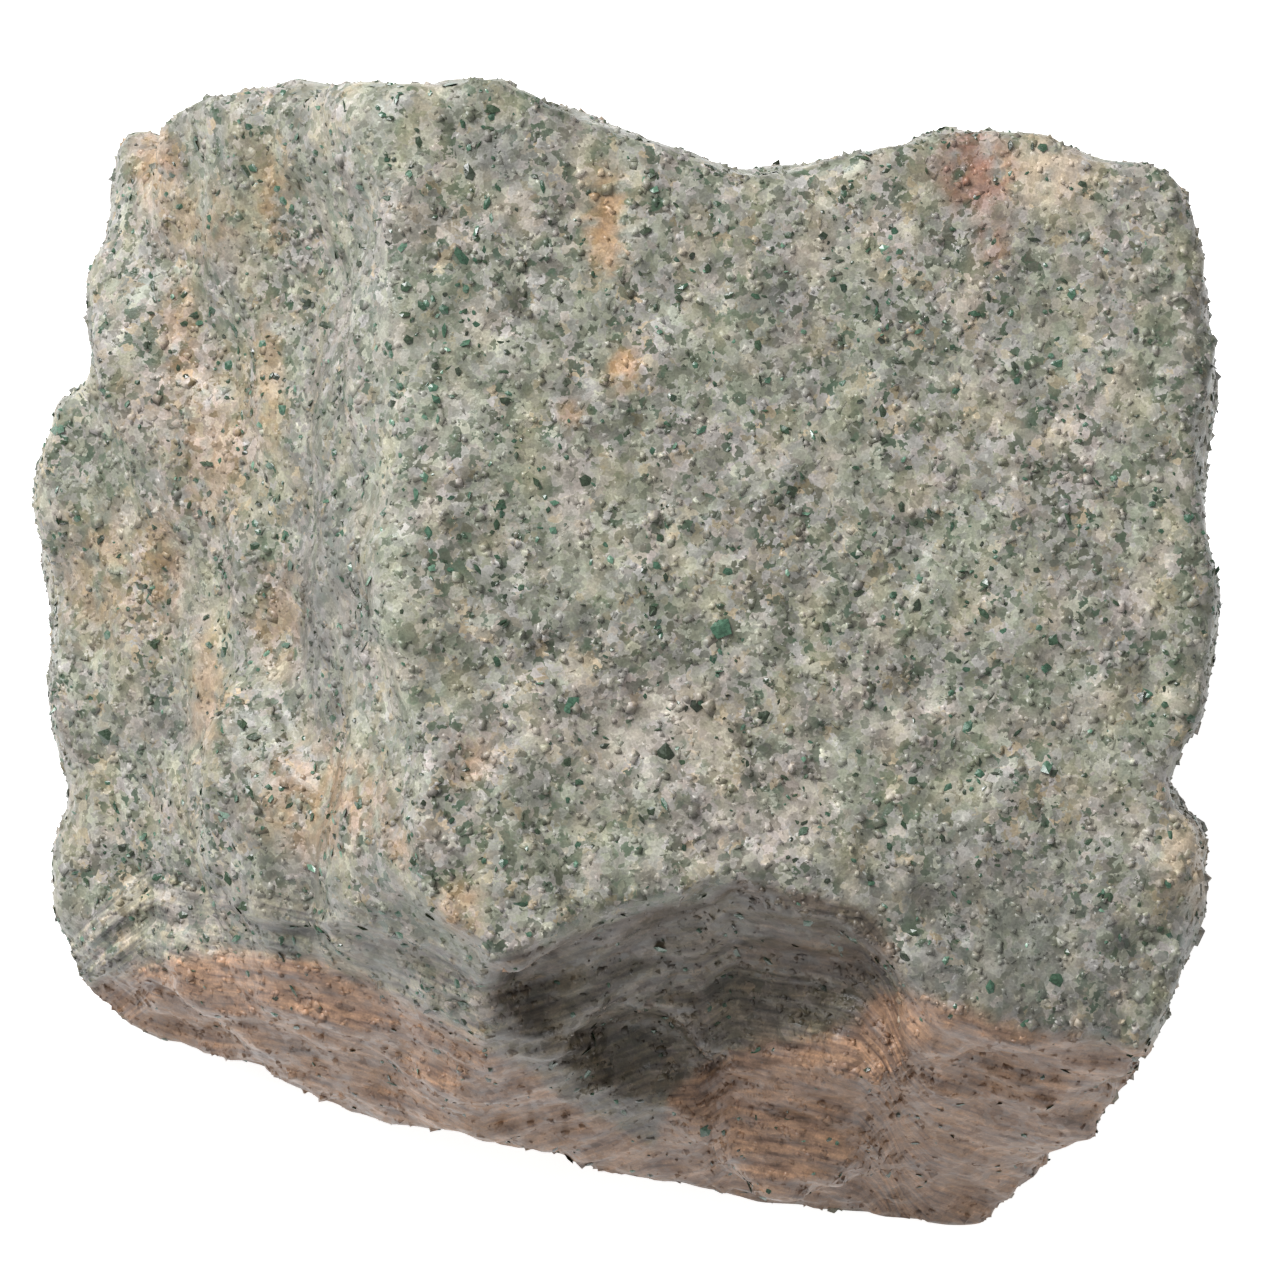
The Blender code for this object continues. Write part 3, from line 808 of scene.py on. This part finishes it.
@dataclass
class Skin:
    """The stone's skin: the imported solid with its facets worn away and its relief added."""

    voxel: float = 0.42
    smoothing: int = 2
    lift: float = 0.12
    lumps: Waves = Waves(1.9, 0, 0.16)
    small_lumps: Waves = Waves(0.9, 5, 0.12)
    ledges: Waves = Waves((3.6, 5.5, 3.6), 9, 0.42)
    steps: Waves = Waves((2.6, 3.4, 2.6), 13, 0.22)
    sheets: Waves = Waves((4.2, 0.75, 3.0), 17, 0.5)
    ripples: Waves = Waves((2.3, 5.5, 4.0), 23)
    ripple_depth: float = 0.75
    ripple_turn: tuple[float, float] = (0.84, 0.54)
    tints: TintField = field(default_factory=TintField)

    def copy_of_solid(self) -> bpy.types.Object:
        """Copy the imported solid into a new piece.

        Returns:
            The new piece.
        """
        made = bpy.data.objects.new("stone_skin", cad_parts[NODE].data.copy())
        bpy.context.scene.collection.objects.link(made)
        made.data.materials.clear()
        return made

    def even_mesh(self, piece: bpy.types.Object) -> None:
        """Give the piece an even mesh, fine enough for its relief.

        Args:
            piece: the piece.
        """
        skin = piece.modifiers.new("skin", "REMESH")
        skin.mode = "VOXEL"
        skin.voxel_size = self.voxel * MM
        worn = piece.modifiers.new("worn facets", "SMOOTH")
        worn.iterations = self.smoothing
        bpy.context.view_layer.update()
        graph = bpy.context.evaluated_depsgraph_get()
        old = piece.data
        piece.data = bpy.data.meshes.new_from_object(piece.evaluated_get(graph))
        piece.modifiers.clear()
        bpy.data.meshes.remove(old)

    def relief(self, sites: np.ndarray, normals: np.ndarray) -> np.ndarray:
        """Height of the fine relief.

        Args:
            sites: the places, in the picture frame.
            normals: the surface normals there.

        Returns:
            How far the skin stands out at each place, in millimetres.
        """
        on_main = smooth_step(normals[:, 2], 0.75, 0.92)
        place, share = self.tints.layers(sites, normals)
        sheets = share * self.sheets.at(place)
        across, up = self.ripple_turn
        turned = np.column_stack([
            across * sites[:, 0] + up * sites[:, 1],
            across * sites[:, 1] - up * sites[:, 0],
            sites[:, 2],
        ])
        chipped = on_main * (0.25 + 0.75 * smooth_step(sites[:, 1], 6.0, -4.0))
        ripples = self.ripple_depth * chipped * (np.abs(self.ripples.at(turned)) - 0.2)
        lumps = self.lumps.at(sites) + self.small_lumps.at(sites) - ripples
        rough = self.ledges.at(sites) - np.abs(self.steps.at(sites))
        seen = self.tints.seen_from_camera(sites)
        marks = sum(scarp.height(seen) for scarp in SCARPS) * smooth_step(normals[:, 2], 0.6, 0.85)
        return lumps + (1 - 0.45 * on_main) * rough + sheets + marks - 0.06

    def build(self) -> bpy.types.Object:
        """Build the skin.

        Returns:
            The finished piece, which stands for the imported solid.
        """
        piece = self.copy_of_solid()
        self.even_mesh(piece)
        mesh = piece.data
        points = mesh_points(mesh)
        normals = mesh_normals(mesh)
        sites, facing = in_picture(points, normals)
        on_table = smooth_step(points[:, 2], 0.9 * MM, 0.2 * MM)
        height = self.relief(sites, facing) * (1 - on_table)
        points += normals * height[:, None] * MM
        points[:, 2] = np.maximum(points[:, 2], self.lift * MM)
        mesh.vertices.foreach_set("co", points.astype(np.float32).ravel())
        mesh.update()
        mesh.shade_smooth()
        return piece

    def dress(self, piece: bpy.types.Object, finish: bpy.types.Material, rng: np.random.Generator) -> None:
        """Give the skin its finish and the attributes that the finish reads.

        Args:
            piece: the skin.
            finish: the skin's material.
            rng: the source of chance.
        """
        mesh = piece.data
        sites, facing = in_picture(mesh_points(mesh), mesh_normals(mesh))
        set_attribute(mesh, "luck", 0.35 + 0.3 * rng.random(len(sites)))
        store_tints(mesh, self.tints.weights(sites, facing))
        store_layers(mesh, *self.tints.layers(sites, facing))
        mesh.materials.clear()
        mesh.materials.append(finish)
        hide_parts(NODE)
        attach(piece, BODY)


@dataclass(frozen=True)
class Sites:
    """Places on the skin, in the picture frame, with the surface normal at each."""

    places: np.ndarray
    normals: np.ndarray

    def __len__(self) -> int:
        """How many places there are."""
        return len(self.places)

    def where(self, chosen: np.ndarray) -> "Sites":
        """Only the chosen places."""
        return Sites(self.places[chosen], self.normals[chosen])


@dataclass
class Scatterer:
    """Finds evenly spread places on the skin for grains and flakes."""

    skin: bpy.types.Object
    tries: float = 6.0
    most_cubes: int = 1024

    def __post_init__(self) -> None:
        """Read the skin's triangles in the picture frame."""
        mesh = self.skin.data
        mesh.calc_loop_triangles()
        corners = np.empty(len(mesh.loop_triangles) * 3, np.int32)
        mesh.loop_triangles.foreach_get("vertices", corners)
        points = transformed(mesh_points(mesh), picture_to_row().inverted())
        self.corners = points[corners.reshape(-1, 3)]
        across = np.cross(self.corners[:, 1] - self.corners[:, 0], self.corners[:, 2] - self.corners[:, 0])
        lengths = np.linalg.norm(across, axis=1)
        self.areas = lengths / 2
        self.normals = across / np.maximum(lengths, 1e-12)[:, None]

    def spread(self, spacing: float, among: np.ndarray, rng: np.random.Generator) -> Sites:
        """Spread places over part of the skin.

        Args:
            spacing: the side of the cube that each place has for itself.
            among: whether each triangle of the skin belongs to the part.
            rng: the source of chance.

        Returns:
            The places, at most one in each cube.
        """
        areas = self.areas * among
        count = int(self.tries * areas.sum() / spacing**2)
        chosen = rng.choice(len(areas), count, p=areas / areas.sum())
        first, second = rng.random((2, count))
        over = first + second > 1
        first[over], second[over] = 1 - first[over], 1 - second[over]
        a, b, c = (self.corners[chosen, i] for i in range(3))
        places = a + (b - a) * first[:, None] + (c - a) * second[:, None]
        cubes = np.floor(places / spacing).astype(np.int64) + self.most_cubes // 2
        keys = (cubes[:, 0] * self.most_cubes + cubes[:, 1]) * self.most_cubes + cubes[:, 2]
        _, kept = np.unique(keys, return_index=True)
        return Sites(places[kept], self.normals[chosen[kept]])


def random_turns(count: int, rng: np.random.Generator) -> np.ndarray:
    """Rotation matrices that point every way alike.

    Args:
        count: how many.
        rng: the source of chance.

    Returns:
        The matrices.
    """
    q = rng.normal(size=(count, 4))
    q /= np.linalg.norm(q, axis=1, keepdims=True)
    w, x, y, z = q.T
    rows = [
        [1 - 2 * (y * y + z * z), 2 * (x * y - z * w), 2 * (x * z + y * w)],
        [2 * (x * y + z * w), 1 - 2 * (x * x + z * z), 2 * (y * z - x * w)],
        [2 * (x * z - y * w), 2 * (y * z + x * w), 1 - 2 * (x * x + y * y)],
    ]
    return np.array(rows).transpose(2, 0, 1)


@dataclass(frozen=True)
class GrainForm:
    """The closed form of one grain, before it is stretched and turned."""

    points: np.ndarray
    faces: np.ndarray


def crystal() -> GrainForm:
    """A block of twelve triangles with its corners on a ball.

    Returns:
        The block.
    """
    signs = (-1.0, 1.0)
    points = np.array([(x, y, z) for x in signs for y in signs for z in signs]) / math.sqrt(3)
    squares = [(0, 1, 3, 2), (4, 6, 7, 5), (0, 4, 5, 1), (2, 3, 7, 6), (0, 2, 6, 4), (1, 5, 7, 3)]
    faces = [(a, b, c) for a, b, c, _ in squares] + [(a, c, d) for a, _, c, d in squares]
    return GrainForm(points, np.array(faces))


def flake() -> GrainForm:
    """A five-cornered flake, a little thicker in its middle.

    Returns:
        The flake.
    """
    corners = 5
    angles = np.arange(corners) * 2 * math.pi / corners
    ring = np.stack([np.cos(angles), np.sin(angles), np.zeros(corners)], axis=1)
    points = np.concatenate([ring, [(0, 0, 1), (0, 0, -1)]])
    top, bottom = corners, corners + 1
    faces = [(i, (i + 1) % corners, top) for i in range(corners)]
    faces += [((i + 1) % corners, i, bottom) for i in range(corners)]
    return GrainForm(points, np.array(faces))


def joined_mesh(name: str, form: GrainForm, points: np.ndarray) -> bpy.types.Mesh:
    """Join many copies of a form into one mesh.

    Args:
        name: the mesh's name.
        form: the form of each copy.
        points: the points of each copy, in the row frame, copy by copy.

    Returns:
        The joined mesh.
    """
    count, per = points.shape[:2]
    faces = (form.faces[None] + np.arange(count)[:, None, None] * per).reshape(-1, 3)
    mesh = bpy.data.meshes.new(name)
    mesh.vertices.add(count * per)
    mesh.vertices.foreach_set("co", points.astype(np.float32).ravel())
    mesh.loops.add(faces.size)
    mesh.loops.foreach_set("vertex_index", faces.astype(np.int32).ravel())
    mesh.polygons.add(len(faces))
    mesh.polygons.foreach_set("loop_start", np.arange(0, faces.size, 3, dtype=np.int32))
    mesh.update(calc_edges=True)
    mesh.shade_flat()
    return mesh


@dataclass
class Grains:
    """One piece with many grains or flakes, most of each sunk in the skin."""

    name: str
    form: GrainForm
    half_widths: Triple
    spread: float
    sink: tuple[float, float]
    ragged: float = 0.25
    tilt: float = 0.0
    places: np.ndarray = field(default_factory=lambda: np.empty((0, 3)))

    def turns(self, sites: Sites, rng: np.random.Generator) -> np.ndarray:
        """Turn each grain any way, or each flake nearly flat on the skin.

        Args:
            sites: where the grains lie.
            rng: the source of chance.

        Returns:
            A rotation matrix for each grain.
        """
        free = random_turns(len(sites), rng)
        if self.tilt == 0:
            return free
        across = sites.normals + rng.normal(size=sites.normals.shape) * self.tilt
        across /= np.linalg.norm(across, axis=1, keepdims=True)
        side = np.cross(across, free[:, 0])
        side /= np.linalg.norm(side, axis=1, keepdims=True)
        return np.stack([side, np.cross(across, side), across], axis=2)

    def build(self, sites: Sites, rng: np.random.Generator) -> bpy.types.Object:
        """Build the piece with one grain at each place.

        Args:
            sites: where the grains lie.
            rng: the source of chance.

        Returns:
            The piece.
        """
        count = len(sites)
        size = np.array(self.half_widths) * np.exp(rng.normal(size=(count, 3)) * self.spread)
        size *= np.exp(rng.normal(size=(count, 1)) * self.spread)
        jitter = rng.uniform(-1, 1, (count, len(self.form.points), 1)) * self.ragged
        shape = self.form.points[None] * (1 + jitter) * size[:, None]
        shape = np.einsum("nij,npj->npi", self.turns(sites, rng), shape)
        low, high = self.sink
        height = rng.uniform(low, high, (count, 1))
        middle = sites.places + sites.normals * height
        self.places = (shape + middle[:, None]).reshape(-1, 3)
        points = transformed(self.places, picture_to_row())
        points[:, 2] = np.maximum(points[:, 2], 0)
        mesh = joined_mesh(self.name, self.form, points.reshape(count, -1, 3))
        piece = bpy.data.objects.new(self.name, mesh)
        bpy.context.scene.collection.objects.link(piece)
        return piece

    def dress(
        self, piece: bpy.types.Object, sites: Sites, finish: bpy.types.Material, rng: np.random.Generator
    ) -> None:
        """Give each grain its chance tone, its tints and the finish.

        Args:
            piece: the built piece.
            sites: where the grains lie.
            finish: the grains' material.
            rng: the source of chance.
        """
        per = len(self.form.points)
        tints = TintField()
        set_attribute(piece.data, "luck", np.repeat(rng.random(len(sites)), per))
        store_tints(piece.data, tints.weights(sites.places, sites.normals), per)
        store_layers(piece.data, *tints.layers(self.places, np.repeat(sites.normals, per, axis=0)))
        piece.data.materials.append(finish)
        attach(piece, BODY)


class Side(Enum):
    """The sides of the stone that the crust is divided into, one piece each."""

    MAIN = "main"
    LEFT = "left"
    FRONT = "front"
    BACK = "back"
    RIGHT = "right"

    @property
    def facing(self) -> Vector:
        """The way that the side faces, in the picture frame.

        Returns:
            A vector of length one.
        """
        ways = {
            "main": (0, 0, 1),
            "left": (-0.8, 0, 0.45),
            "front": (-0.1, -0.95, 0.2),
            "back": (0, 0.8, -0.6),
            "right": (1, 0, -0.2),
        }
        return Vector(ways[self.value]).normalized()

    @property
    def spacing(self) -> float:
        """Distance between the grains of the side, in millimetres."""
        return {"main": 0.41, "left": 0.43, "front": 0.47, "back": 0.56, "right": 0.5}[self.value]

    @property
    def sink(self) -> tuple[float, float]:
        """Range of the heights of the grains' middles over the skin, least on the worn front."""
        return (-0.32, -0.22) if self is Side.FRONT else (-0.26, -0.13)


@dataclass
class Crust:
    """The crust of quartz grains, in one piece for each side of the stone."""

    most_grains: int = 16000
    half_width: float = 0.24
    size_spread: float = 0.2

    def build(self, scatterer: Scatterer, finish: bpy.types.Material, rng: np.random.Generator) -> None:
        """Build and dress the grains of every side.

        Args:
            scatterer: finds places on the skin.
            finish: the grains' material.
            rng: the source of chance.
        """
        facings = np.array([side.facing for side in Side])
        nearest = np.argmax(scatterer.normals @ facings.T, axis=1)
        for index, side in enumerate(Side):
            sites = scatterer.spread(side.spacing, nearest == index, rng)
            if len(sites) > self.most_grains:
                sites = sites.where(np.sort(rng.permutation(len(sites))[: self.most_grains]))
            log.info("%s: %d grains", side.value, len(sites))
            half_widths = (self.half_width,) * 3
            grains = Grains(f"grains_{side.value}", crystal(), half_widths, self.size_spread, side.sink)
            piece = grains.build(sites, rng)
            piece.data.shade_smooth()
            grains.dress(piece, sites, finish, rng)


@dataclass
class Flakes:
    """The green mica flakes, denser in upright bands."""

    spacing: float = 0.44
    bands: Waves = Waves((2.2, 7.0, 3.0), 21)
    fine_bands: Waves = Waves(1.2, 25, 0.6)
    least: float = 0.05
    most: float = 0.35
    fewer_on_brown_and_hollow: float = 0.7
    half_widths: Triple = (0.19, 0.14, 0.045)

    def build(self, scatterer: Scatterer, finish: bpy.types.Material, rng: np.random.Generator) -> None:
        """Build and dress the flakes.

        Args:
            scatterer: finds places on the skin.
            finish: the flakes' material.
            rng: the source of chance.
        """
        sites = scatterer.spread(self.spacing, np.ones(len(scatterer.areas)), rng)
        bands = self.bands.at(sites.places) + self.fine_bands.at(sites.places)
        stained = TintField().weights(sites.places, sites.normals)
        # Fewer flakes on the brown faces and where the hollow's painted shade lies
        rarer = 1 - self.fewer_on_brown_and_hollow * np.maximum(stained[Tint.BROWN], stained[Tint.HOLLOW_SHADE])
        chance = (self.least + (self.most - self.least) * smooth_step(bands, 0.0, 0.6)) * rarer
        sites = sites.where(rng.random(len(sites)) < chance)
        log.info("flakes: %d", len(sites))
        grains = Grains("mica_flakes", flake(), self.half_widths, 0.3, (-0.05, 0.06), tilt=0.35)
        piece = grains.build(sites, rng)
        grains.dress(piece, sites, finish, rng)


@dataclass(frozen=True)
class SoftLight:
    """A square soft light that points at the stone, placed in the picture frame."""

    name: str
    place: Triple
    side: float
    power: float
    colour: Colour = (1, 1, 1)

    def build(self) -> None:
        """Hang the light."""
        lamp = bpy.data.lights.new(self.name, "AREA")
        lamp.shape = "SQUARE"
        lamp.size = self.side * MM
        lamp.energy = self.power
        lamp.color = self.colour
        made = bpy.data.objects.new(self.name, lamp)
        place = picture_to_row() @ Vector(self.place)
        target = picture_to_row() @ LIT_PLACE
        made.location = place
        made.rotation_euler = (target - place).to_track_quat("-Z", "Y").to_euler()
        made.visible_camera = False
        bpy.context.scene.collection.objects.link(made)


@dataclass
class Studio:
    """The white table, the soft light over it and the camera."""

    floor_side: float = 8000.0
    lights: tuple[SoftLight, ...] = (
        SoftLight("key", (-340, 400, 390), 330, 6.8),
        SoftLight("sparkle", (-120, 260, 520), 28, 0.45),
    )
    ambient: float = 0.42

    def build_floor(self) -> None:
        """Lay the table under the stone."""
        half = self.floor_side / 2 * MM
        mesh = bpy.data.meshes.new("table_top")
        corners = [(x * half, y * half, 0) for x, y in ((-1, -1), (1, -1), (1, 1), (-1, 1))]
        mesh.from_pydata(corners, [], [(0, 1, 2, 3)])
        mesh.materials.append(FloorFinish().make())
        floor = bpy.data.objects.new("table_top", mesh)
        bpy.context.scene.collection.objects.link(floor)
        floor.visible_diffuse = False

    def build_world(self) -> None:
        """Light the room evenly."""
        world = bpy.data.worlds.new("soft_room")
        world.use_nodes = True
        background = world.node_tree.nodes["Background"]
        background.inputs["Color"].default_value = (1, 1, 1, 1)
        background.inputs["Strength"].default_value = self.ambient
        bpy.context.scene.world = world

    def build_camera(self) -> None:
        """Set the camera square to the main face."""
        lens = bpy.data.cameras.new("camera")
        lens.sensor_width = SENSOR_WIDTH
        lens.lens = lens.sensor_width * CAMERA_DISTANCE / PICTURE_WIDTH
        lens.clip_start = 10 * MM
        lens.clip_end = 20
        camera = bpy.data.objects.new("camera", lens)
        camera.matrix_world = (
            Matrix.Translation(PICTURE_ORIGIN * MM)
            @ Matrix.Rotation(MAIN_FACE_TIP, 4, "X")
            @ Matrix.Translation((0, 0, CAMERA_DISTANCE * MM))
        )
        bpy.context.scene.collection.objects.link(camera)
        bpy.context.scene.camera = camera

    def build(self) -> None:
        """Set up the whole studio."""
        self.build_floor()
        self.build_world()
        self.build_camera()
        for light in self.lights:
            light.build()
        bpy.context.scene.view_settings.view_transform = "Standard"


def main() -> None:
    """Build the studio and the stone."""
    logging.basicConfig(level=logging.INFO, format="%(name)s: %(message)s")
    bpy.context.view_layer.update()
    rng = np.random.default_rng(SEED)
    Studio().build()
    quartz = QuartziteFinish().make()
    mica = FlakeFinish().make()
    skin = Skin()
    piece = skin.build()
    skin.dress(piece, quartz, rng)
    log.info("stone_skin: %d faces", len(piece.data.polygons))
    scatterer = Scatterer(piece)
    Crust().build(scatterer, quartz, rng)
    Flakes().build(scatterer, mica, rng)


if __name__ == "__main__":
    main()
